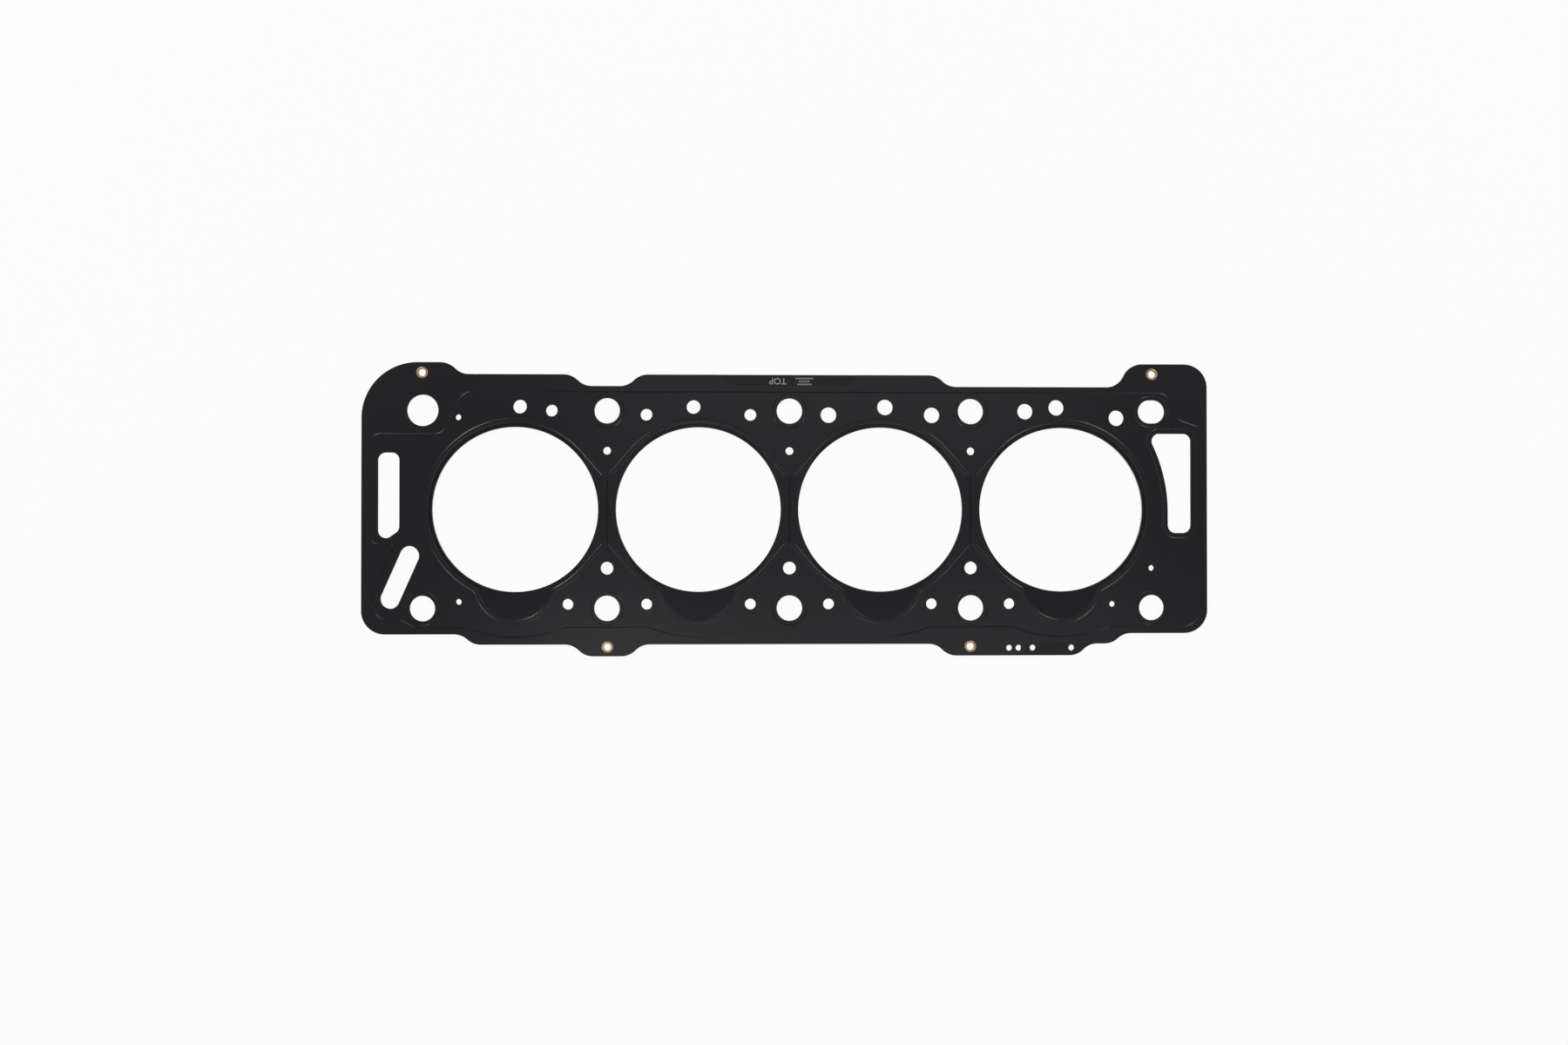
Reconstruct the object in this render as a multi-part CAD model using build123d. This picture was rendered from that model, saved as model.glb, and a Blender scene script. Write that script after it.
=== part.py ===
from build123d import *
import math
import os

# Cylinder head gasket of a four-cylinder indirect-injection diesel engine: a multi-layer steel
# gasket made of two embossed spring-steel bead layers, a flat spacer between them, a stopper ring
# at each bore and four hollow rivet eyelets that hold the layers together.
# Millimetres. X runs along the row of bores, +Z is the side marked as the top.
# The origin is the centre of the bolt pattern, on the plane that the gasket lies on.

# ---- engine sizes ---------------------------------------------------------------------------
bore_opening_d = 84.0
bore_bridge = 9.0            # between the edges of two neighbouring bore openings
cylinder_count = 4
bolt_row_gap = 8.4           # from the bores' edge to each row of head bolts
bolt_hole_d = 13.0
end_bolt_gap = 4.9           # from the end bore's edge to the end pair of bolts
dowel_hole_d = 16.0          # the top-left bolt hole also takes a ring dowel
oval_hole_width = 12.0
oval_hole_stretch = 1.9

bore_r = bore_opening_d / 2
cylinder_pitch = bore_opening_d + bore_bridge
bore_xs = [cylinder_pitch * (i - (cylinder_count - 1) / 2) for i in range(cylinder_count)]
bridge_xs = [(a + b) / 2 for a, b in zip(bore_xs, bore_xs[1:])]
end_x = bore_xs[-1] + bore_r           # outer edge of the end bores
row_y = bore_r + bolt_row_gap          # the two rows of head bolts
end_bolt_x = end_x + end_bolt_gap

# ---- layers ---------------------------------------------------------------------------------
bead_sheet = 0.25            # thickness of each embossed layer
bead_height = 0.26           # full bead, above the layer's low level
step_height = 0.13           # half-bead step up to the coolant field
spacer_sheet = 0.75
stopper_sheet = 0.1
stopper_width = 2.0

stopper_z = bead_height + bead_sheet
spacer_z = stopper_z + stopper_sheet
top_layer_z = spacer_z + spacer_sheet

# ---- embossing ------------------------------------------------------------------------------
bead_from_bore = 3.6         # from a bore's edge to the crest line of its full bead
bead_foot_half = 1.55        # half the bead's width at its foot
bead_crest_half = 0.35       # half the width of its flat crest
bead_leave_angle = 41.0      # where the bead leaves the circle towards a bridge, from the X axis
bridge_crest_gap = 2.0       # crest line to the middle of the bridge between two bores
bridge_corner_r = 3.0
lobe_r = 20.0                # crest line round the swirl-chamber insert under each bore
lobe_inset = 4.6             # the lobe's centre is this far inside the bore's edge
lobe_blend_r = 5.0
step_flank = 0.8             # plan width of a half-bead's slope
bolt_rim = 2.1               # low rim round a bolt hole, to the middle of the slope
dowel_rim = 2.3
oval_rim = 1.9
opening_rim = 2.5            # low rim round the large opening
field_from_row = 9.6         # from a row of bolts to the edge of the coolant field
field_dip = 5.0              # the edge dips round the bore axis under each lobe
field_dip_angle = 20.0
field_corner_r = 6.0
field_from_left = 4.7        # from the gasket's ends to the edge of the field
field_from_right = 3.0

# ---- outline, measured from the end bores' edges and from the rows of bolts ------------------
left_x = -end_x - 35.7
right_x = end_x + 33.7
large_corner_r = 28.3
corner_r = 12.0
bend_r = 10.2                # both arcs of each S-shaped bend in the edge
top_end_y = row_y + 24.5
top_main_y = row_y + 18.5
top_low_y = row_y + 12.6
bottom_end_y = -row_y - 13.1
bottom_main_y = -row_y - 18.4
bottom_tab_y = -row_y - 24.4
mark_notch_x = -0.2          # notch in the top layer, over the printed marks
mark_notch_half = 29.3
mark_notch_y = row_y + 13.0
mark_notch_run = 10.0        # its slanting ends run this far, past the edge
mark_notch_r = 2.0
tag_left = bridge_xs[-1] + 28.0        # from here the identification tag shows below the top layer
tag_length = 30.1
tag_right = tag_left + tag_length
code_window_left = tag_left - 12.0     # the bottom layer leaves the first code holes open
code_window_right = tag_left - 2.1
step_corner_r = 1.2
bottom_bend_xs = [-end_x + 17.9, bridge_xs[0] - 14.2, bridge_xs[0] + 14.6, bridge_xs[-1] - 14.6]
bottom_right_bend_x = tag_right + 17.7
top_bend_xs = [
    end_x - 9.2, bridge_xs[-1] - 14.6, bridge_xs[0] + 13.6, bridge_xs[0] - 14.9, -end_x + 11.3,
]

blank_margin = 10.0          # the blank sheet before it is cut out is this much larger
cut_depth = 4.0              # cutting bodies run this far above and below


def tangent_corner(centre_x, centre_y, radius, start, end):
    """Corner whose rounding is the arc of a circle between two angles in degrees."""
    half = math.radians(end - start) / 2
    middle = math.radians(start + end) / 2
    reach = radius / math.cos(half)
    return (centre_x + reach * math.cos(middle), centre_y + reach * math.sin(middle), radius)


def s_bend(middle_x, first_y, last_y, heading):
    """The two corners of an S-bend between two straight edges, travelled along heading * X."""
    rise = abs(last_y - first_y)
    slope = math.acos(1 - rise / (2 * bend_r))
    reach = heading * rise / 2 / math.tan(slope)
    return [(middle_x - reach, first_y, bend_r), (middle_x + reach, last_y, bend_r)]


def outline(corners, grow=0.0):
    """Closed wire through rounded corners (x, y, radius), counter-clockwise, grown outwards."""
    count = len(corners)
    lines = []
    for i in range(count):
        ax, ay, _ = corners[i]
        bx, by, _ = corners[(i + 1) % count]
        length = math.hypot(bx - ax, by - ay)
        ux, uy = (bx - ax) / length, (by - ay) / length
        lines.append((ax + grow * uy, ay - grow * ux, ux, uy))
    marks = []
    for i in range(count):
        px, py, pux, puy = lines[i - 1]
        qx, qy, qux, quy = lines[i]
        turn = math.atan2(pux * quy - puy * qux, pux * qux + puy * quy)
        reach = ((qx - px) * quy - (qy - py) * qux) / math.sin(turn)
        vx, vy = px + reach * pux, py + reach * puy
        radius = corners[i][2] + grow * math.copysign(1, turn)
        back = radius * math.tan(abs(turn) / 2)
        side = math.copysign(radius, turn)
        start = (vx - back * pux, vy - back * puy)
        end = (vx + back * qux, vy + back * quy)
        cx, cy = start[0] - side * puy, start[1] + side * pux
        toward = radius / math.hypot(vx - cx, vy - cy)
        middle = (cx + (vx - cx) * toward, cy + (vy - cy) * toward)
        marks.append((start, middle, end))
    edges = []
    for i in range(count):
        start, middle, end = marks[i]
        following = marks[(i + 1) % count][0]
        edges.append(Edge.make_three_point_arc(start, middle, end))
        if math.dist(end, following) > 1e-4:
            edges.append(Edge.make_line(end, following))
    return Wire(edges)


def prism(corners, bottom, top):
    """Upright body of a rounded outline between two heights."""
    return extrude(Pos(0, 0, bottom) * Face(outline(corners)), top - bottom)


def ramped(corners, bottom, height, foot, crest):
    """Body with sloping sides: its outline is grown by foot below and by crest above."""
    low = outline(corners, foot)
    high = Pos(0, 0, height) * outline(corners, crest)
    return Pos(0, 0, bottom) * Solid.make_loft([low, high], ruled=True)


def disc_corners(x, y, radius):
    """A circle as four rounded corners, so that it can be grown like the other outlines."""
    return [tangent_corner(x, y, radius, a, a + 90) for a in (0, 90, 180, 270)]


def slot_corners(start, end, radius):
    """A straight slot between two end centres, as four rounded corners."""
    angle = math.degrees(math.atan2(end[1] - start[1], end[0] - start[0]))
    return [tangent_corner(*centre, radius, angle + a, angle + a + 90)
            for centre, a in ((start, 90), (start, 180), (end, 270), (end, 0))]


# ---- where the holes are --------------------------------------------------------------------
bolt_points = [(x, row_y) for x in bridge_xs]
bolt_points += [(x, -row_y) for x in [-end_bolt_x] + bridge_xs + [end_bolt_x]]
dowel_point = (-end_bolt_x, row_y)
oval_point = (end_bolt_x, row_y)

# Round holes as (x, y, diameter). Coolant is metered: the upper holes grow towards the right.
coolant_holes = [
    (bore_xs[0] + 2.3, row_y + 2.0, 7.0), (bore_xs[0] + 18.4, row_y, 6.0),
    (bridge_xs[0] + 20.0, row_y - 2.0, 6.0), (bore_xs[1] - 2.5, row_y + 2.0, 7.0),
    (bridge_xs[1] - 20.0, row_y - 2.0, 6.0), (bridge_xs[1] + 20.0, row_y - 2.0, 8.0),
    (bore_xs[2] + 2.5, row_y + 2.0, 8.0), (bridge_xs[2] - 20.0, row_y - 2.0, 8.0),
    (bore_xs[3] - 18.4, row_y, 8.0), (bore_xs[3] - 2.3, row_y + 2.0, 8.0),
    (end_x - 13.2, row_y - 3.3, 8.0),
]
coolant_holes += [(x, row_y - 20.45, 4.0) for x in bridge_xs]
coolant_holes += [(x, -row_y + 20.45, 6.5) for x in bridge_xs]
coolant_holes += [(s * (x + reach), -row_y + 2.1, 5.5) for s in (-1, 1)
                  for x, reach in ((bridge_xs[1], 20.0), (bridge_xs[2], -20.2), (bridge_xs[2], 19.8))]
small_holes = [
    (-end_x + 13.1, row_y - 3.5, 3.0), (-end_x + 13.5, -row_y + 3.4, 3.0),
    (end_x - 15.5, -row_y + 1.9, 3.0), (end_x + 4.8, -row_y + 20.4, 3.0),
]
code_hole_y = -row_y - 20.5
code_hole_d = 3.0
code_hole_xs = [tag_left - 8.25, tag_left - 3.4, tag_left + 3.9, tag_left + 23.9]
rivet_points = [
    (-end_bolt_x - 0.25, row_y + 19.25), (end_bolt_x + 0.25, row_y + 19.25),
    (bridge_xs[0] + 0.3, -row_y - 19.7), (bridge_xs[-1] - 0.3, -row_y - 19.7),
]
rivet_hole_d = 3.7
rivet_tube_d = 4.5
rivet_flange_d = 5.9
rivet_flange = 0.22
rivet_rim_slope = 0.13       # plan width of the flange's slanting edges
rivet_clearance = 0.05

# ---- outlines of the larger openings --------------------------------------------------------
left_slot = [
    (-end_x - 27.6, 28.9, 3.9), (-end_x - 27.6, -14.6, 4.0), (-end_x - 22.1, -14.6, 4.0),
    (-end_x - 16.5, -10.6, 3.8), (-end_x - 16.5, 28.9, 3.9),
]
slant_slot = slot_corners((-end_x - 21.2, -row_y + 4.9), (-end_x - 11.5, -row_y + 26.8), 5.0)
# The large opening's left side is bent round the end bore.
opening_arc = tangent_corner(end_x - 67.0, -1.2, 80.3, 0, 25.5)
large_opening = [
    (end_x + 13.4, -12.0, 4.0), (end_x + 25.5, -12.0, 4.0), (end_x + 25.5, row_y - 11.3, 3.8),
    (end_x + 2.8, row_y - 11.3, 3.9), opening_arc,
]
oval_hole = slot_corners((oval_point[0] - oval_hole_stretch / 2, oval_point[1]),
                         (oval_point[0] + oval_hole_stretch / 2, oval_point[1]),
                         oval_hole_width / 2)

# ---- the coolant field, counter-clockwise from the bottom left -------------------------------
field_left_x = left_x + field_from_left
field_right_x = right_x - field_from_right
field_edge_y = row_y + field_from_row
coolant_field = [
    (field_left_x, -row_y + 4.4, 7.0), (-end_x - 27.0, -row_y - 5.4, 6.0),
    (-end_x - 16.0, -row_y - 5.4, 5.0), (-end_x - 8.5, -field_edge_y, 6.0),
]
field_dip_r = field_edge_y + field_dip
dip_corner_y = field_dip_r / math.cos(math.radians(field_dip_angle))
dip_corner_x = (dip_corner_y - field_edge_y) / math.tan(math.radians(field_dip_angle))
for x in bore_xs:
    coolant_field += [
        (x - dip_corner_x, -field_edge_y, field_corner_r),
        (x, -dip_corner_y, field_dip_r),
        (x + dip_corner_x, -field_edge_y, field_corner_r),
    ]
coolant_field += [
    (field_right_x, -field_edge_y, 10.0), (field_right_x, row_y - 8.2, 5.0),
    (end_x + 18.0, row_y - 3.9, 6.0), (end_x + 13.0, field_edge_y, 6.0),
    (-end_x + 15.5, field_edge_y, 8.0), (-end_x + 5.0, row_y - 11.9, 6.0),
    (field_left_x, row_y - 11.9, 5.0), (field_left_x, -17.6, 4.0), (-end_x - 18.5, -17.6, 1.5),
]


def bends(middle_xs, levels, heading):
    """The S-bends that take an edge from each level to the next."""
    corners = []
    for x, first_y, last_y in zip(middle_xs, levels, levels[1:]):
        corners += s_bend(x, first_y, last_y, heading)
    return corners


def plate_corners(tab_edge):
    """Outline of a layer, counter-clockwise; tab_edge is its lower edge at the right-hand tab."""
    bottom_levels = [bottom_end_y, bottom_main_y, bottom_tab_y, bottom_main_y, bottom_tab_y]
    top_levels = [top_end_y, top_low_y, top_main_y, top_low_y, top_main_y, top_end_y]
    corners = [(left_x, bottom_end_y, corner_r)]
    corners += bends(bottom_bend_xs, bottom_levels, 1)
    corners += tab_edge
    corners += s_bend(bottom_right_bend_x, bottom_main_y, bottom_end_y, 1)
    corners += [(right_x, bottom_end_y, corner_r), (right_x, top_end_y, corner_r)]
    corners += bends(top_bend_xs, top_levels, -1)
    corners += [(left_x, top_end_y, large_corner_r)]
    return corners


def square_step(x, first_y, last_y):
    """A square step in the edge with small corners."""
    return [(x, first_y, step_corner_r), (x, last_y, step_corner_r)]


tag_end = s_bend(tag_right, bottom_tab_y, bottom_main_y, 1)
spacer_plate = plate_corners(tag_end)
top_plate = plate_corners(square_step(tag_left, bottom_tab_y, bottom_main_y))
bottom_plate = plate_corners(square_step(code_window_left, bottom_tab_y, bottom_main_y)
                             + square_step(code_window_right, bottom_main_y, bottom_tab_y)
                             + tag_end)


def bead_line(index):
    """Crest line of the full bead round one bore and its lobe, counter-clockwise."""
    x = bore_xs[index]
    bead_crest_r = bore_r + bead_from_bore
    lobe_y = lobe_inset - bore_r
    blend_y = ((lobe_r + lobe_blend_r) ** 2 - (bead_crest_r + lobe_blend_r) ** 2 - lobe_y ** 2)
    blend_y = blend_y / (2 * -lobe_y)
    blend_x = math.sqrt((bead_crest_r + lobe_blend_r) ** 2 - blend_y ** 2)
    join = math.degrees(math.atan2(blend_y, blend_x))
    turn = math.degrees(math.atan2(blend_y - lobe_y, blend_x))
    blend_half = math.radians(turn - join) / 2
    blend_reach = lobe_blend_r / math.cos(blend_half)
    blend_middle = math.radians((turn + join) / 2)
    blend = (blend_reach * math.cos(blend_middle), blend_reach * math.sin(blend_middle))
    bridge = cylinder_pitch / 2 - bridge_crest_gap
    leave = math.radians(bead_leave_angle)
    bridge_y = (bead_crest_r - bridge * math.cos(leave)) / math.sin(leave)
    right, left = [], []
    right += [(x + blend_x - blend[0], blend_y - blend[1], lobe_blend_r)]
    left += [(x - blend_x + blend[0], blend_y - blend[1], lobe_blend_r)]
    if index + 1 < cylinder_count:
        right += [
            tangent_corner(x, 0, bead_crest_r, join, -bead_leave_angle),
            (x + bridge, -bridge_y, bridge_corner_r),
            (x + bridge, bridge_y, bridge_corner_r),
            tangent_corner(x, 0, bead_crest_r, bead_leave_angle, 90),
        ]
    else:
        right += [
            tangent_corner(x, 0, bead_crest_r, join, 0),
            tangent_corner(x, 0, bead_crest_r, 0, 90),
        ]
    if index > 0:
        left += [
            tangent_corner(x, 0, bead_crest_r, 180 + bead_leave_angle, 180 - join),
            (x - bridge, -bridge_y, bridge_corner_r),
            (x - bridge, bridge_y, bridge_corner_r),
            tangent_corner(x, 0, bead_crest_r, 90, 180 - bead_leave_angle),
        ]
    else:
        left += [
            tangent_corner(x, 0, bead_crest_r, 180, 180 - join),
            tangent_corner(x, 0, bead_crest_r, 90, 180),
        ]
    lobe = tangent_corner(x, lobe_y, lobe_r, 180 - turn, 360 + turn)
    return [lobe] + right + left[::-1]


def low_rims():
    """Outlines, inside the coolant field, where the sheet stays low round holes."""
    rims = [(disc_corners(x, y, bolt_hole_d / 2), bolt_rim) for x, y in bolt_points]
    rims += [(disc_corners(*dowel_point, dowel_hole_d / 2), dowel_rim)]
    rims += [(oval_hole, oval_rim), (large_opening, opening_rim)]
    return rims


def embossed_form():
    """What the embossing raises above the sheet's low level: the coolant field and the beads."""
    half = step_flank / 2
    form = ramped(coolant_field, 0, step_height, half, -half)
    for corners, rim in low_rims():
        form -= ramped(corners, 0, step_height, rim - half, rim + half)
    for i in range(cylinder_count):
        line = bead_line(i)
        form -= prism(line, 0, step_height)
        bead = ramped(line, 0, bead_height, bead_foot_half, bead_crest_half)
        bead -= ramped(line, 0, bead_height, -bead_foot_half, -bead_crest_half)
        form += bead
    return form


def openings(bottom, top):
    """Cutting bodies of everything that goes through all the layers."""
    span = top - bottom
    rounds = [(x, 0, bore_opening_d) for x in bore_xs]
    rounds += [(x, y, bolt_hole_d) for x, y in bolt_points]
    rounds += [(*dowel_point, dowel_hole_d)] + coolant_holes + small_holes
    cutters = [Pos(x, y, (bottom + top) / 2) * Cylinder(d / 2, span) for x, y, d in rounds]
    cutters += [prism(corners, bottom, top)
                for corners in (left_slot, slant_slot, large_opening, oval_hole)]
    rivet_hole = rivet_tube_d / 2 + rivet_clearance
    cutters += [Pos(x, y, (bottom + top) / 2) * Cylinder(rivet_hole, span)
                for x, y in rivet_points]
    return cutters


def code_holes(xs):
    return [Pos(x, code_hole_y, 0) * Cylinder(code_hole_d / 2, 2 * cut_depth) for x in xs]


def pressed_sheet(cutters):
    """Sheet pressed to the embossing at one thickness, low side on z = 0, and punched."""
    form = embossed_form()
    length = 2 * (max(-left_x, right_x) + blank_margin)
    width = 2 * (max(top_end_y, -bottom_tab_y) + blank_margin)
    sheet = Pos(0, 0, bead_sheet / 2) * Box(length, width, bead_sheet)
    return sheet + Pos(0, 0, bead_sheet) * form - form - cutters


def stopper_ring(x):
    """Thin ring between the bore's edge and its full bead; it limits how far the bead is pressed."""
    ring = Cylinder(bore_r + stopper_width, stopper_sheet)
    ring -= Cylinder(bore_r, stopper_sheet)
    return Pos(x, 0, stopper_z + stopper_sheet / 2) * ring


def rivet_eyelet(x, y):
    """Hollow rivet, flanged over on both faces."""
    low = bead_height
    high = top_layer_z + bead_sheet
    hole = rivet_hole_d / 2
    tube = rivet_tube_d / 2
    flange = rivet_flange_d / 2
    with BuildSketch(Plane.XZ) as section:
        with BuildLine():
            Polyline(
                (hole, low), (hole, high),
                (hole + rivet_rim_slope, high + rivet_flange),
                (flange - rivet_rim_slope, high + rivet_flange),
                (flange, high), (tube, high), (tube, low), (flange, low),
                (flange - rivet_rim_slope, low - rivet_flange),
                (hole + rivet_rim_slope, low - rivet_flange), close=True,
            )
        make_face()
    return Pos(x, y, 0) * revolve(section.sketch, Axis.Z)


notch_outer_half = mark_notch_half + mark_notch_run
notch_outer_y = mark_notch_y + mark_notch_run
mark_notch = [
    (mark_notch_x - mark_notch_half, mark_notch_y, mark_notch_r),
    (mark_notch_x + mark_notch_half, mark_notch_y, mark_notch_r),
    (mark_notch_x + notch_outer_half, notch_outer_y, mark_notch_r),
    (mark_notch_x - notch_outer_half, notch_outer_y, mark_notch_r),
]

through = openings(-cut_depth, cut_depth)
pressed = pressed_sheet(through)
top_layer = pressed & prism(top_plate, -cut_depth, cut_depth)
top_layer -= code_holes(code_hole_xs[:2]) + [prism(mark_notch, -cut_depth, cut_depth)]
bottom_layer = pressed & prism(bottom_plate, -cut_depth, cut_depth)
bottom_layer -= code_holes(code_hole_xs[2:])
spacer = prism(spacer_plate, 0, spacer_sheet) - through - code_holes(code_hole_xs)

pieces = {
    "bottom_bead_layer": Pos(0, 0, stopper_z) * mirror(bottom_layer, about=Plane.XY),
    "spacer_layer": Pos(0, 0, spacer_z) * spacer,
    "top_bead_layer": Pos(0, 0, top_layer_z) * top_layer,
}
for i, x in enumerate(bore_xs):
    pieces[f"stopper_ring_{i + 1}"] = stopper_ring(x)
for i, point in enumerate(rivet_points):
    pieces[f"rivet_eyelet_{i + 1}"] = rivet_eyelet(*point)

os.makedirs("parts", exist_ok=True)
for name, piece in pieces.items():
    export_step(piece, f"parts/{name}.step")
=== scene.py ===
import math

import bmesh
import bpy
from mathutils import Matrix, Vector


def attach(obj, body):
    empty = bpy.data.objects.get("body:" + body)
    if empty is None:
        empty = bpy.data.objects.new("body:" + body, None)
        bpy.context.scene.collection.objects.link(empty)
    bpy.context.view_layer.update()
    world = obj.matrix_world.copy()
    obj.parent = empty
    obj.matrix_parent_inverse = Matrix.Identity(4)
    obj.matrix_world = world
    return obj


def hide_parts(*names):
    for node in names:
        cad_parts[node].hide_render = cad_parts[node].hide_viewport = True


# Cylinder head gasket of a four-cylinder diesel engine, lying flat: two pressed and coated bead
# layers, a spacer with stopper rings between them, and four hollow rivets.
# Meshes are made in millimetres and brought to metres when a piece is finished.
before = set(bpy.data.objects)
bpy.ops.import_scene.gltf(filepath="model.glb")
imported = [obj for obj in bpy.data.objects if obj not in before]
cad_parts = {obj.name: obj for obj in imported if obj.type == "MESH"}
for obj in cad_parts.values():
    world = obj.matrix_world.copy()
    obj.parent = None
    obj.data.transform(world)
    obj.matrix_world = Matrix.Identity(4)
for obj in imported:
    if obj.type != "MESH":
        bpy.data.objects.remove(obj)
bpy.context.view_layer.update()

# ---- the two bead layers --------------------------------------------------------------------
# Spring steel 0.25 mm thick, coated black on both faces before it is pressed and punched. The
# press raises the coolant field by half a bead and a full bead round each bore and its lobe.
# The bottom layer is the same pressing turned over, cut to a slightly different edge.
mm = 0.001                     # one millimetre in metres
sheet = 0.25
stack_height = 1.87
low_z = 1.61                   # top face of the top layer where it isn't raised
step_height = 0.13
bead_height = 0.26
field_z = low_z + step_height
bead_z = low_z + bead_height

bore_xs = (-139.5, -46.5, 46.5, 139.5)
bridge_xs = (-93.0, 0.0, 93.0)
bore_r = 42.0
bolt_r = 6.5
bolt_y = 50.4
end_bolt_x = 186.4
bolt_points = [(x, y) for x in bridge_xs for y in (bolt_y, -bolt_y)]
bolt_points += [(-end_bolt_x, -bolt_y), (end_bolt_x, -bolt_y)]
dowel_hole = (-end_bolt_x, bolt_y, 8.0)
rivet_points = ((-186.65, 69.65), (186.65, 69.65), (-92.7, -70.1), (92.7, -70.1))
rivet_hole_r = 2.3

# Holes in the raised field as (x, y, radius).
field_holes = [
    (-137.2, 52.4, 3.5), (-121.1, 50.4, 3.0), (-73.0, 48.4, 3.0), (-49.0, 52.4, 3.5),
    (-20.0, 48.4, 3.0), (20.0, 48.4, 4.0), (49.0, 52.4, 4.0), (73.0, 48.4, 4.0),
    (121.1, 50.4, 4.0), (137.2, 52.4, 4.0), (168.3, 47.1, 4.0),
    (-168.4, 46.9, 1.5), (-168.0, -47.0, 1.5), (166.0, -48.5, 1.5), (186.3, -30.0, 1.5),
]
field_holes += [(x, 29.95, 2.0) for x in bridge_xs]
field_holes += [(x, -29.95, 3.25) for x in bridge_xs]
field_holes += [(s * x, -48.3, 2.75) for x in (20.0, 72.8, 112.8) for s in (-1, 1)]

code_hole_y = -70.9
code_hole_r = 1.5
upper_code_xs = (112.75, 117.6)
lower_code_xs = (124.9, 144.9)

# Larger openings and edges are lists of rounded corners (x, y, radius), counter-clockwise.
left_slot = [
    (-209.1, 28.9, 3.9), (-209.1, -14.6, 4.0), (-203.6, -14.6, 4.0),
    (-198.0, -10.6, 3.8), (-198.0, 28.9, 3.9),
]


def arc_corner(centre_x, centre_y, radius, start, end):
    """Corner whose rounding is the arc of a circle between two angles in degrees."""
    middle = math.radians((start + end) / 2)
    reach = radius / math.cos(math.radians(end - start) / 2)
    return (centre_x + reach * math.cos(middle), centre_y + reach * math.sin(middle), radius)


def slot_corners(start, end, radius):
    """A straight slot between two end centres."""
    angle = math.degrees(math.atan2(end[1] - start[1], end[0] - start[0]))
    return [arc_corner(*centre, radius, angle + a, angle + a + 90)
            for centre, a in ((start, 90), (start, 180), (end, 270), (end, 0))]


slant_slot = slot_corners((-202.7, -45.5), (-193.0, -23.6), 5.0)
oval_hole = slot_corners((185.45, bolt_y), (187.35, bolt_y), 6.0)
large_opening = [
    (194.9, -12.0, 4.0), (207.0, -12.0, 4.0), (207.0, 39.1, 3.8), (184.3, 39.1, 3.9),
    arc_corner(114.5, -1.2, 80.3, 0, 25.5),
]

# The edge of the coolant field dips under each lobe along a circle round the bore.
field_edge_y = 60.0
field_left_x, field_right_x = -212.5, 212.2
dip_r = 65.0
dip_angle = math.radians(20.0)
dip_y = dip_r / math.cos(dip_angle)
dip_x = (dip_y - field_edge_y) / math.tan(dip_angle)
coolant_field = [
    (field_left_x, -46.0, 7.0), (-208.5, -55.8, 6.0), (-197.5, -55.8, 5.0),
    (-190.0, -field_edge_y, 6.0),
]
for x in bore_xs:
    coolant_field += [(x - dip_x, -field_edge_y, 6.0), (x, -dip_y, dip_r),
                      (x + dip_x, -field_edge_y, 6.0)]
coolant_field += [
    (field_right_x, -field_edge_y, 10.0), (field_right_x, 42.2, 5.0), (199.5, 46.5, 6.0),
    (194.5, field_edge_y, 6.0), (-166.0, field_edge_y, 8.0), (-176.5, 38.5, 6.0),
    (field_left_x, 38.5, 5.0), (field_left_x, -17.6, 4.0), (-200.0, -17.6, 1.5),
]

# Ends and levels of the edges of the layers, and the radii between them.
left_x, right_x = -217.2, 215.2
main_y, low_y, end_y = 68.9, 63.0, 74.9
bottom_y, bottom_end_y, tab_y = -68.8, -63.5, -74.8
bend_r = 10.2
step_r = 1.2
end_corner_r = 12.0
large_corner_r = 28.3


def s_bends(middle_xs, levels, heading):
    """Corners of the S-bends that take an edge from each level to the next."""
    corners = []
    for x, first_y, last_y in zip(middle_xs, levels, levels[1:]):
        rise = abs(last_y - first_y)
        reach = heading * rise / 2 / math.tan(math.acos(1 - rise / (2 * bend_r)))
        corners += [(x - reach, first_y, bend_r), (x + reach, last_y, bend_r)]
    return corners


def plate_outline(tab_edge, top_edge=()):
    """Outline of a layer, with its own edge at the code tab and at the top middle."""
    corners = [(left_x, bottom_end_y, end_corner_r)]
    corners += s_bends((-163.6, -107.2, -78.4, 78.4),
                       (bottom_end_y, bottom_y, tab_y, bottom_y, tab_y), 1)
    corners += tab_edge
    corners += s_bends((168.8,), (bottom_y, bottom_end_y), 1)
    corners += [(right_x, bottom_end_y, end_corner_r), (right_x, end_y, end_corner_r)]
    corners += s_bends((172.3, 78.4), (end_y, low_y, main_y), -1)
    corners += top_edge
    corners += s_bends((-79.4, -107.9, -170.2), (main_y, low_y, main_y, end_y), -1)
    corners += [(left_x, end_y, large_corner_r)]
    return corners


def square_step(x, first_y, last_y):
    """Corners of a short square step in an edge."""
    return [(x, first_y, step_r), (x, last_y, step_r)]


tag_end = s_bends((151.1,), (tab_y, bottom_y), 1)
mark_notch = [(34.8, main_y, 0.4), (29.1, 63.4, 2.0), (-29.5, 63.4, 2.0), (-35.2, main_y, 0.4)]
top_outline = plate_outline(square_step(121.0, tab_y, bottom_y), mark_notch)
bottom_outline = plate_outline(square_step(109.0, tab_y, bottom_y)
                               + square_step(118.9, bottom_y, tab_y) + tag_end)

crest_r = 45.6                 # crest of the full bead round a bore
leave_angle = 41.0             # where the bead leaves the circle for the bridge, in degrees
bridge_reach = 45.05           # from the bore's middle to the bead's straight run on a bridge
bridge_r = 2.0
lobe_r = 20.0
lobe_y = -37.4
blend_r = 5.0                  # between the circle and the lobe


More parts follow.
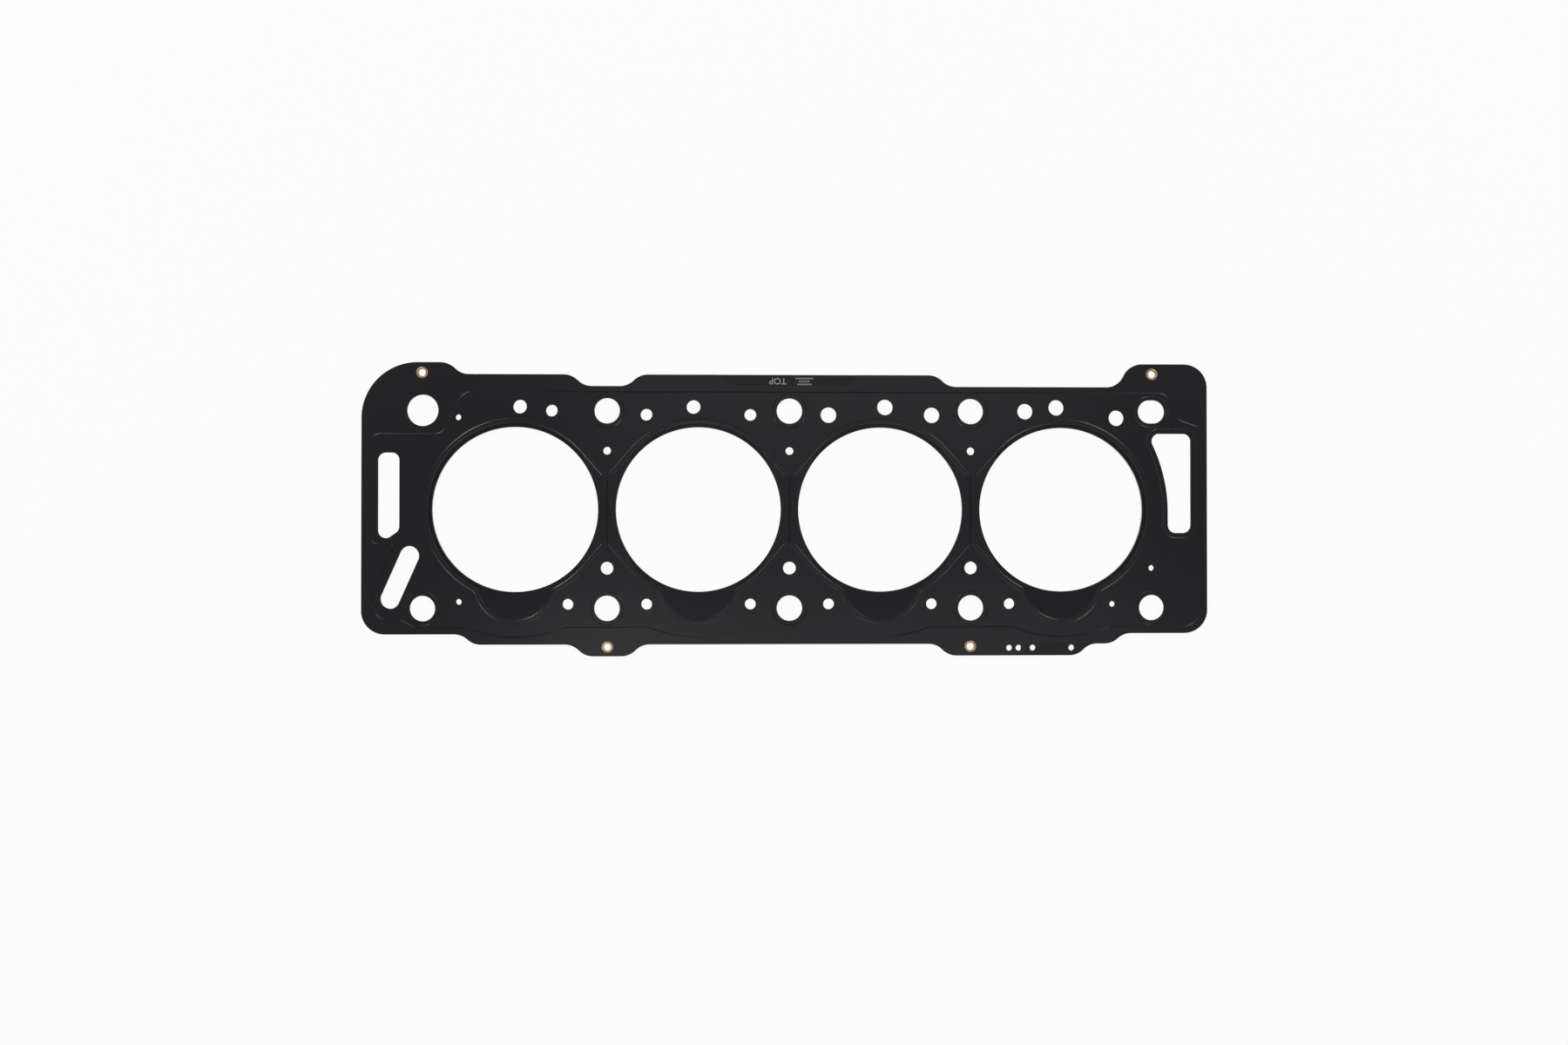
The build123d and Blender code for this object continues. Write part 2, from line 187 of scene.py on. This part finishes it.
def bead_crest(index):
    """Crest line of the bead round one bore and its lobe, counter-clockwise."""
    x = bore_xs[index]
    blend_y = (lobe_r + blend_r) ** 2 - (crest_r + blend_r) ** 2 - lobe_y ** 2
    blend_y = blend_y / (2 * -lobe_y)
    blend_x = math.sqrt((crest_r + blend_r) ** 2 - blend_y ** 2)
    join = math.degrees(math.atan2(blend_y, blend_x))
    turn = math.degrees(math.atan2(blend_y - lobe_y, blend_x))
    inner_x, inner_y, _ = arc_corner(blend_x, blend_y, -blend_r, join, turn)
    leave = math.radians(leave_angle)
    bridge_y = (crest_r - bridge_reach * math.cos(leave)) / math.sin(leave)
    right = [(x + inner_x, inner_y, blend_r)]
    left = [(x - inner_x, inner_y, blend_r)]
    for side, edge, at_end in ((1, right, index == len(bore_xs) - 1), (-1, left, index == 0)):
        arcs = [(join, 0), (0, 90)] if at_end else [(join, -leave_angle), (leave_angle, 90)]
        corners = []
        for start, end in arcs:
            cx, cy, r = arc_corner(0, 0, crest_r, start, end)
            corners.append((x + side * cx, cy, r))
        if not at_end:
            corners[1:1] = [(x + side * bridge_reach, s * bridge_y, bridge_r) for s in (-1, 1)]
        edge.extend(corners)
    return [arc_corner(x, lobe_y, lobe_r, 180 - turn, 360 + turn)] + right + left[::-1]


chord_error = 0.008
touching = 0.004               # points this close are one
coating, painted_shade_wall, bore_wall, dull_coating = range(4)      # a sheet's materials in order


def arc_steps(radius, turn):
    """How many facets keep an arc within the chord error."""
    return max(2, math.ceil(abs(turn) / (2 * math.acos(1 - chord_error / radius))))


def cross_section(bm, foot, outward, profile):
    """Chain of edges through (distance outwards, height) points that stands on an outline."""
    verts = [bm.verts.new((*(foot + distance * outward), height)) for distance, height in profile]
    return verts + [bm.edges.new(pair) for pair in zip(verts, verts[1:])]


def as_mesh(bm, name):
    """Turns a finished bmesh into a mesh."""
    mesh = bpy.data.meshes.new(name)
    bm.to_mesh(mesh)
    bm.free()
    return mesh


def join_band(bm, band, coat):
    """Adds a finished band to the sheet. Each is swept alone, which is much quicker."""
    for face in band.faces:
        face.material_index = coat
    mesh = as_mesh(band, "band")
    bm.from_mesh(mesh)
    bpy.data.meshes.remove(mesh)


def sweep_round(bm, x, y, radius, profile, coat=coating):
    """Turns a cross-section once round a circle."""
    band = bmesh.new()
    section = cross_section(band, Vector((x + radius, y)), Vector((1, 0)), profile)
    bmesh.ops.spin(band, geom=section, cent=(x, y, 0), axis=(0, 0, 1), angle=2 * math.pi,
                   steps=arc_steps(radius, 2 * math.pi), use_merge=True)
    join_band(bm, band, coat)


def sweep_along(bm, corners, profile, coat=coating):
    """Carries a cross-section once round an outline of rounded corners, counter-clockwise."""
    arcs = []
    for i, (x, y, radius) in enumerate(corners):
        corner = Vector((x, y))
        arrive = (corner - Vector(corners[i - 1][:2])).normalized()
        leave = (Vector(corners[(i + 1) % len(corners)][:2]) - corner).normalized()
        turn = math.atan2(arrive.cross(leave), arrive.dot(leave))
        back = radius * math.tan(abs(turn) / 2)
        start = corner - back * arrive
        centre = start + math.copysign(radius, turn) * Vector((-arrive.y, arrive.x))
        arcs.append((start, arrive, centre, turn, radius, corner + back * leave))
    start, heading = arcs[0][:2]
    band = bmesh.new()
    section = cross_section(band, start, Vector((heading.y, -heading.x)), profile)
    for i, (_, _, centre, turn, radius, end) in enumerate(arcs):
        turned = bmesh.ops.spin(band, geom=section, cent=(*centre, 0), axis=(0, 0, 1), angle=turn,
                                steps=arc_steps(radius, turn))
        section = turned["geom_last"]
        run = arcs[(i + 1) % len(arcs)][0] - end
        if run.length > touching:
            edges = [e for e in section if isinstance(e, bmesh.types.BMEdge)]
            section = bmesh.ops.extrude_edge_only(band, edges=edges)["geom"]
            section = [e for e in section if not isinstance(e, bmesh.types.BMFace)]
            verts = [v for v in section if isinstance(v, bmesh.types.BMVert)]
            bmesh.ops.translate(band, verts=verts, vec=(*run, 0))
    join_band(bm, band, coat)


roll_width = 0.10              # the punch draws the upper edge down a little
roll_depth = 0.05
burr = 0.02


def cut_edge(face_z, thickness, side=1):
    """Cross-section of a punched edge; side is 1 round a hole and -1 along an outline."""
    rolled = [math.radians(a) for a in (0, 30, 60, 90)]
    points = [(side * roll_width * (1 - math.sin(a)), face_z - roll_depth * (1 - math.cos(a)))
              for a in rolled]
    base = face_z - thickness
    return points + [(0.0, base + burr), (side * burr, base)]


def ramp(first, last, facets=6):
    """Smooth S-shaped slope from one (distance, height) point to another."""
    points = []
    for i in range(facets + 1):
        u = i / facets
        rise = u * u * (3 - 2 * u)
        points.append((first[0] + (last[0] - first[0]) * u, first[1] + (last[1] - first[1]) * rise))
    return points


# Widths of the low rims round openings, each up to the middle of the slope to the field.
bolt_rim = 2.1
oval_rim = 1.9
opening_rim = 2.5
slope_half = 0.28


def lowered(profile, drop):
    """The same cross-section further down."""
    return [(distance, height - drop) for distance, height in profile]


def rimmed_edge(rim):
    """Punched edge with a low rim round it, up to the coolant field."""
    slope = ramp((rim + slope_half, field_z), (rim - slope_half, low_z))
    return slope + cut_edge(low_z, sheet) + lowered(reversed(slope), sheet)


# Where the slopes begin and end, outwards from the field's edge and from a bead's crest.
step_slope = (-0.35, 0.4)
inner_slope = (-1.6, -0.45)
outer_slope = (0.45, 1.2)
half_bead = ramp((step_slope[0], field_z), (step_slope[1], low_z))
full_bead = ramp((inner_slope[0], low_z), (inner_slope[1], bead_z))
full_bead += ramp((outer_slope[0], bead_z), (outer_slope[1], field_z))


def fill_flats(bm, heights):
    """Fills the flats between the open edges that lie at each height."""
    for height in heights:
        rims = [e for e in bm.edges if e.is_boundary
                and all(abs(v.co.z - height) < touching for v in e.verts)]
        bmesh.ops.triangle_fill(bm, use_beauty=True, edges=rims, normal=(0, 0, 1))


def pressed_layer(outline, code_xs):
    """Mesh of a bead layer, made in the top layer's place."""
    bm = bmesh.new()
    low_edge = cut_edge(low_z, sheet)
    field_edge = cut_edge(field_z, sheet)
    sweep_along(bm, outline, cut_edge(low_z, sheet, -1))
    low_holes = [dowel_hole] + [(x, y, rivet_hole_r) for x, y in rivet_points]
    low_holes += [(x, code_hole_y, code_hole_r) for x in code_xs]
    low_holes += [(x, 0.0, bore_r) for x in bore_xs]
    for x, y, radius in low_holes:
        sweep_round(bm, x, y, radius, low_edge)
    for x, y, radius in field_holes:
        sweep_round(bm, x, y, radius, field_edge)
    for slot in (left_slot, slant_slot):
        sweep_along(bm, slot, field_edge)
    for x, y in bolt_points:
        sweep_round(bm, x, y, bolt_r, rimmed_edge(bolt_rim))
    sweep_along(bm, oval_hole, rimmed_edge(oval_rim))
    sweep_along(bm, large_opening, rimmed_edge(opening_rim))
    for drop in (0.0, sheet):
        sweep_along(bm, coolant_field, lowered(half_bead, drop), dull_coating)
        for i in range(len(bore_xs)):
            sweep_along(bm, bead_crest(i), lowered(full_bead, drop))
    bmesh.ops.remove_doubles(bm, verts=bm.verts, dist=touching)
    fill_flats(bm, (low_z, field_z, low_z - sheet, field_z - sheet))
    return bm


def grain_group():
    """Node group with the fine grain and faint blotches of a surface."""
    group = bpy.data.node_groups.new("surface_grain", "ShaderNodeTree")
    sockets = group.interface
    for name, kind in (("Colour", "NodeSocketColor"), ("Blotches", "NodeSocketFloat"),
                       ("Roughness", "NodeSocketFloat"), ("Spread", "NodeSocketFloat"),
                       ("Grain Scale", "NodeSocketFloat")):
        sockets.new_socket(name, in_out="INPUT", socket_type=kind)
    for name, kind in (("Colour", "NodeSocketColor"), ("Roughness", "NodeSocketFloat"),
                       ("Height", "NodeSocketFloat")):
        sockets.new_socket(name, in_out="OUTPUT", socket_type=kind)
    nodes, links = group.nodes, group.links
    given = nodes.new("NodeGroupInput")
    result = nodes.new("NodeGroupOutput")
    place = nodes.new("ShaderNodeTexCoord")
    grain = nodes.new("ShaderNodeTexNoise")
    grain.inputs["Detail"].default_value = 4.0
    links.new(place.outputs["Object"], grain.inputs["Vector"])
    links.new(given.outputs["Grain Scale"], grain.inputs["Scale"])
    blotch = nodes.new("ShaderNodeTexNoise")
    blotch.inputs["Scale"].default_value = 22.0
    blotch.inputs["Detail"].default_value = 5.0
    blotch.inputs["Roughness"].default_value = 0.6
    links.new(place.outputs["Object"], blotch.inputs["Vector"])

    def varied(source, centre, spread):
        """Nodes for centre + spread * (2 * source - 1)."""
        offset = nodes.new("ShaderNodeMath")
        offset.operation = "MULTIPLY_ADD"
        links.new(source, offset.inputs[0])
        offset.inputs[1].default_value = 2.0
        offset.inputs[2].default_value = -1.0
        total = nodes.new("ShaderNodeMath")
        total.operation = "MULTIPLY_ADD"
        links.new(offset.outputs[0], total.inputs[0])
        links.new(spread, total.inputs[1])
        if isinstance(centre, float):
            total.inputs[2].default_value = centre
        else:
            links.new(centre, total.inputs[2])
        return total.outputs[0]

    shade = nodes.new("ShaderNodeVectorMath")
    shade.operation = "SCALE"
    links.new(given.outputs["Colour"], shade.inputs[0])
    links.new(varied(blotch.outputs["Fac"], 1.0, given.outputs["Blotches"]), shade.inputs["Scale"])
    links.new(shade.outputs["Vector"], result.inputs["Colour"])
    links.new(varied(grain.outputs["Fac"], given.outputs["Roughness"], given.outputs["Spread"]),
              result.inputs["Roughness"])
    links.new(grain.outputs["Fac"], result.inputs["Height"])
    return group


surface_grain = grain_group()


def surface(name, colour, roughness, metallic=0.0, blotches=0.1, spread=0.08,
            grain_scale=1500.0, grain_depth=1e-6, shine=0.5):
    """A material with the surface grain; grain_depth is the height of its bumps in metres."""
    material = bpy.data.materials.new(name)
    material.use_nodes = True
    nodes, links = material.node_tree.nodes, material.node_tree.links
    shader = nodes["Principled BSDF"]
    shader.inputs["Metallic"].default_value = metallic
    shader.inputs["Specular IOR Level"].default_value = shine
    grain = nodes.new("ShaderNodeGroup")
    grain.node_tree = surface_grain
    grain.inputs["Colour"].default_value = (*colour, 1.0)
    grain.inputs["Blotches"].default_value = blotches
    grain.inputs["Roughness"].default_value = roughness
    grain.inputs["Spread"].default_value = spread
    grain.inputs["Grain Scale"].default_value = grain_scale
    bump = nodes.new("ShaderNodeBump")
    bump.inputs["Distance"].default_value = grain_depth
    links.new(grain.outputs["Height"], bump.inputs["Height"])
    links.new(grain.outputs["Colour"], shader.inputs["Base Color"])
    links.new(grain.outputs["Roughness"], shader.inputs["Roughness"])
    links.new(bump.outputs["Normal"], shader.inputs["Normal"])
    return material


coating_black = (0.0083, 0.0080, 0.0112)
black_coating = surface("black_coating", coating_black, 0.24, spread=0.03)
collar_coating = surface("collar_coating", coating_black, 0.24, spread=0.03, shine=0.32)
# Near-black walls of the small holes, slots and outlines: painted shade standing for the shade
# inside them, on steel that is bare where it is cut.
punched_edge_painted_shade = surface("punched_edge_painted_shade", (0.012, 0.012, 0.013), 0.7, grain_scale=3000.0, shine=0.2)
bore_edge_steel = surface("bore_edge_steel", (0.42, 0.42, 0.43), 0.55, metallic=0.5,
                          grain_scale=3000.0)


def added(name, data):
    """Puts an object with the given mesh, lamp or camera in the scene."""
    item = bpy.data.objects.new(name, data)
    bpy.context.scene.collection.objects.link(item)
    return item


level_normal = 0.9999          # a face leans if its normal's z is less
wall_normal = 0.6              # and it stands as a wall below this


def finished(bm, name, materials, nodes):
    """Brings a mesh to metres and makes it a piece that stands for some of the CAD nodes."""
    bmesh.ops.recalc_face_normals(bm, faces=bm.faces)
    for face in bm.faces:
        face.smooth = abs(face.normal.z) < level_normal
    bmesh.ops.scale(bm, vec=(mm, mm, mm), verts=bm.verts)
    mesh = as_mesh(bm, name)
    for material in materials:
        mesh.materials.append(material)
    piece = added(name, mesh)
    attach(piece, "root")
    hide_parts(*nodes)


def mark_edges(bm):
    """Gives punched walls their own materials; round the bores the steel is left bright, and
    elsewhere the walls get a near-black painted shade.
    """
    bm.normal_update()
    for face in bm.faces:
        if abs(face.normal.z) < wall_normal:
            middle = face.calc_center_median()
            at_bore = any(math.hypot(middle.x - x, middle.y) < bore_r + roll_width
                          for x in bore_xs)
            face.material_index = bore_wall if at_bore else painted_shade_wall


flat_half_width = 0.6          # of the flat between two beads on a bridge
flat_half_length = 17.0
rim_reach = 2.6                # from a bolt hole's wall to beyond the slope of its rim


def inside_bead(places, x):
    """Whether all of a face's corners lie inside the bead round a bore or its lobe."""
    return all(math.hypot(p.x - x, p.y) < crest_r
               or math.hypot(p.x - x, p.y - lobe_y) < lobe_r for p in places)


def on_bridge(places, x):
    """Whether all of a face's corners lie on the narrow flat of a bridge."""
    return all(abs(p.x - x) < flat_half_width and abs(p.y) < flat_half_length for p in places)


def mark_collars(bm):
    """Gives the flats inside the beads and on the bridges, and the bolt rims, a duller coating."""
    for face in bm.faces:
        if face.material_index != coating:
            continue
        places = [v.co for v in face.verts]
        low = all(abs(p.z - low_z) < touching for p in places)
        leans = abs(face.normal.z) < level_normal
        on_collar = low and any(inside_bead(places, x) for x in bore_xs)
        on_rim = leans and any(
            math.hypot(places[0].x - x, places[0].y - y) < bolt_r + rim_reach
            for x, y in bolt_points)
        if on_collar or on_rim or any(on_bridge(places, x) for x in bridge_xs):
            face.material_index = dull_coating


coated = (black_coating, punched_edge_painted_shade, bore_edge_steel, collar_coating)
bm = pressed_layer(top_outline, upper_code_xs)
mark_edges(bm)
mark_collars(bm)
finished(bm, "top_pressed_sheet", coated, ["top_bead_layer"])

bm = pressed_layer(bottom_outline, lower_code_xs)
mark_edges(bm)
mark_collars(bm)
turned_over = Matrix.Translation((0, 0, stack_height)) @ Matrix.Scale(-1, 4, (0, 0, 1))
bmesh.ops.transform(bm, matrix=turned_over, verts=bm.verts)
finished(bm, "bottom_pressed_sheet", coated, ["bottom_bead_layer"])

# ---- the stopper rings ----------------------------------------------------------------------
# Thin bright steel bands between the bottom bead layer and the spacer, one at each bore. They
# keep the full beads from being pressed flat.
stopper_z = stack_height - low_z + sheet
stopper_sheet = 0.1
stopper_width = 2.0
stopper_section = [
    (0.0, stopper_z), (stopper_width, stopper_z), (stopper_width, stopper_z + stopper_sheet),
    (0.0, stopper_z + stopper_sheet), (0.0, stopper_z),
]
stopper_steel = surface("stopper_steel", (0.5, 0.5, 0.51), 0.38, metallic=1.0)

for i, x in enumerate(bore_xs):
    bm = bmesh.new()
    sweep_round(bm, x, 0.0, bore_r, stopper_section)
    bmesh.ops.remove_doubles(bm, verts=bm.verts, dist=touching)
    finished(bm, f"stopper_band_{i + 1}", [stopper_steel], [f"stopper_ring_{i + 1}"])

# ---- the spacer -----------------------------------------------------------------------------
# Flat steel 0.75 mm thick with a thin dark coating. It shows at the code tab and in the notch
# at the top middle, where the marks are printed on it.
spacer_sheet = 0.75
spacer_top = low_z - sheet
spacer_coating = surface("spacer_coating", (0.0080, 0.0078, 0.0100), 0.3, shine=0.42)

bm = bmesh.new()
spacer_edge = cut_edge(spacer_top, spacer_sheet)
sweep_along(bm, plate_outline(tag_end), cut_edge(spacer_top, spacer_sheet, -1))
spacer_holes = [dowel_hole] + [(x, y, rivet_hole_r) for x, y in rivet_points]
spacer_holes += [(x, code_hole_y, code_hole_r) for x in upper_code_xs + lower_code_xs]
spacer_holes += [(x, 0.0, bore_r) for x in bore_xs]
spacer_holes += [(x, y, bolt_r) for x, y in bolt_points]
for x, y, radius in spacer_holes + field_holes:
    sweep_round(bm, x, y, radius, spacer_edge)
for opening in (left_slot, slant_slot, oval_hole, large_opening):
    sweep_along(bm, opening, spacer_edge)
bmesh.ops.remove_doubles(bm, verts=bm.verts, dist=touching)
fill_flats(bm, (spacer_top, spacer_top - spacer_sheet))
mark_edges(bm)
finished(bm, "spacer_plate", (spacer_coating, punched_edge_painted_shade, bore_edge_steel), ["spacer_layer"])

# ---- the printed marks ----------------------------------------------------------------------
# Pale ink on the spacer: the word that says which face goes up, read from the far side, and
# beside it three rows of plain ticks.
ink_depth = 0.012
ink_z = spacer_top + ink_depth / 2
ink = surface("pale_ink", (0.42, 0.42, 0.42), 0.6, blotches=0.25, grain_scale=4000.0)
mark_size = 4.6
mark_middle = (-5.95, 65.85)

curve = bpy.data.curves.new("top_mark", "FONT")
curve.body = "TOP"
curve.align_x = "CENTER"
curve.align_y = "CENTER"
curve.size = mark_size
curve.extrude = ink_depth / 2
letters = bpy.data.objects.new("top_mark_letters", curve)
mesh = bpy.data.meshes.new_from_object(letters)
bpy.data.objects.remove(letters)
turned_round = Matrix.Translation((*mark_middle, ink_z)) @ Matrix.Rotation(math.pi, 4, "Z")
mesh.transform(Matrix.Scale(mm, 4) @ turned_round)
mesh.materials.clear()
mesh.materials.append(ink)
top_mark = added("top_mark", mesh)
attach(top_mark, "root")

tick_rows = ((3.3, 12.8, 67.1), (5.1, 11.0, 65.6), (4.2, 12.2, 64.1))      # first x, last x, y
tick_pitch = 0.62
tick_size = Matrix.Diagonal((0.3, 0.8, ink_depth, 1.0))
bm = bmesh.new()
for first_x, last_x, y in tick_rows:
    for i in range(int((last_x - first_x) / tick_pitch)):
        place = Matrix.Translation((first_x + i * tick_pitch, y, ink_z))
        bmesh.ops.create_cube(bm, size=1.0, matrix=place @ tick_size)
bmesh.ops.scale(bm, vec=(mm, mm, mm), verts=bm.verts)
mesh = as_mesh(bm, "tick_rows")
mesh.materials.append(ink)
ticks = added("tick_rows", mesh)
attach(ticks, "root")

# ---- the rivet eyelets ----------------------------------------------------------------------
# Small hollow brass rivets, one in each upper corner and two in the lower lugs. They go through
# all three layers and are pressed over on both faces, which holds the layers together.
eyelet_brass = surface("eyelet_brass", (0.62, 0.42, 0.24), 0.3, metallic=1.0, spread=0.1,
                       grain_scale=3000.0)
rivet_r = 1.85                 # inside the tube
tube_wall = 0.4
# Upper half of a rivet's section as (distance from its inner wall, height above the sheet).
flange_rise = ((0.0, 0.06), (0.04, 0.15), (0.14, 0.21), (0.3, 0.22), (0.7, 0.22), (0.92, 0.2),
               (1.06, 0.12), (1.1, 0.03), (1.08, 0.0), (tube_wall, 0.0))
upper = [(d, low_z + z) for d, z in flange_rise]
lower = [(d, stack_height - low_z - z) for d, z in reversed(flange_rise)]

for i, (x, y) in enumerate(rivet_points):
    bm = bmesh.new()
    sweep_round(bm, x, y, rivet_r, upper + lower + upper[:1])
    bmesh.ops.remove_doubles(bm, verts=bm.verts, dist=touching)
    finished(bm, f"eyelet_{i + 1}", [eyelet_brass], [f"rivet_eyelet_{i + 1}"])

# ---- floor, light and camera ----------------------------------------------------------------
# A white studio table, four soft boxes over its corners that draw the edges of the beads, faint
# broad ones overhead, and low ones in front, behind and at the sides. The camera hangs almost
# straight above. All places and sizes here are in metres.
floor_half = 3.0
floor_gap = 0.02 * mm          # keeps the table's face off the lowest beads
white_share = 0.93             # how much of the table is plain white to the camera and in gloss
room_light = 0.225
table = bpy.data.materials.new("white_table")
table.use_nodes = True
nodes, links = table.node_tree.nodes, table.node_tree.links
paint = nodes["Principled BSDF"]
paint.inputs["Base Color"].default_value = (0.9, 0.9, 0.9, 1.0)
paint.inputs["Roughness"].default_value = 0.9
glow = nodes.new("ShaderNodeEmission")
path = nodes.new("ShaderNodeLightPath")
seen = nodes.new("ShaderNodeMath")
seen.operation = "MAXIMUM"
links.new(path.outputs["Is Camera Ray"], seen.inputs[0])
links.new(path.outputs["Is Glossy Ray"], seen.inputs[1])
share = nodes.new("ShaderNodeMath")
share.operation = "MULTIPLY"
share.inputs[1].default_value = white_share
links.new(seen.outputs[0], share.inputs[0])
mix = nodes.new("ShaderNodeMixShader")
links.new(share.outputs[0], mix.inputs["Fac"])
links.new(paint.outputs["BSDF"], mix.inputs[1])
links.new(glow.outputs["Emission"], mix.inputs[2])
links.new(mix.outputs["Shader"], nodes["Material Output"].inputs["Surface"])

bm = bmesh.new()
bmesh.ops.create_grid(bm, x_segments=1, y_segments=1, size=floor_half,
                      matrix=Matrix.Translation((0, 0, -floor_gap)))
mesh = as_mesh(bm, "table")
mesh.materials.append(table)
floor = added("table", mesh)

world = bpy.data.worlds.new("studio")
bpy.context.scene.world = world
world.use_nodes = True
nodes, links = world.node_tree.nodes, world.node_tree.links
room = nodes["Background"]
room.inputs["Color"].default_value = (1.0, 1.0, 1.0, 1.0)
room.inputs["Strength"].default_value = room_light
white = nodes.new("ShaderNodeBackground")
white.inputs["Color"].default_value = (1.0, 1.0, 1.0, 1.0)
path = nodes.new("ShaderNodeLightPath")
mix = nodes.new("ShaderNodeMixShader")
links.new(path.outputs["Is Camera Ray"], mix.inputs["Fac"])
links.new(room.outputs["Background"], mix.inputs[1])
links.new(white.outputs["Background"], mix.inputs[2])
links.new(mix.outputs["Shader"], nodes["World Output"].inputs["Surface"])


def looking(place, aim):
    """Placement of a lamp or camera that looks from one point at another, its top towards +Y."""
    back = (Vector(place) - Vector(aim)).normalized()
    across = Vector((0, 1, 0)).cross(back).normalized()
    turn = Matrix((across, back.cross(across), back)).transposed()
    return Matrix.Translation(place) @ turn.to_4x4()


# Each box: name, place, width, depth along Y and the radiance of its face.
soft_boxes = (
    ("lower_left_box", (-1.70, -1.0, 2.2), 0.5, 0.5, 6.3),
    ("upper_left_box", (-1.52, 1.36, 2.2), 0.52, 0.52, 12.0),
    ("upper_right_box", (1.54, 1.32, 2.2), 0.5, 0.5, 8.5),
    ("lower_right_box", (1.64, -1.16, 2.2), 0.5, 0.5, 6.5),
    ("front_box", (0.0, -0.5, 0.87), 0.4, 0.12, 2.0),
    ("upper_glow", (0.07, 0.2, 1.0), 0.65, 0.2, 0.39),
    ("lower_glow", (0.08, -0.2, 1.0), 0.85, 0.18, 0.47),
    ("corner_glow", (-0.24, -0.23, 1.0), 0.25, 0.16, 0.6),
    ("back_box", (0.0, 0.95, 0.5), 1.4, 0.3, 1.6),
    ("far_left_box", (-1.1, 0.1, 0.45), 0.3, 1.2, 2.0),
    ("far_right_box", (1.1, 0.1, 0.45), 0.3, 1.2, 2.0),
)
for name, place, width, depth, radiance in soft_boxes:
    lamp = bpy.data.lights.new(name, "AREA")
    lamp.shape = "RECTANGLE"
    lamp.size = width
    lamp.size_y = depth
    lamp.energy = radiance * math.pi * width * depth
    box = added(name, lamp)
    box.matrix_world = looking(place, (0, 0, 0))

lens = bpy.data.cameras.new("camera")
lens.lens = 25.6
lens.sensor_width = 36.0
lens.clip_start = 0.01
camera = added("camera", lens)
camera.matrix_world = looking((-0.01481, -0.01045, 0.57127), (-0.00278, -0.00663, 0.0017))
bpy.context.scene.camera = camera
bpy.context.scene.view_settings.view_transform = "Standard"
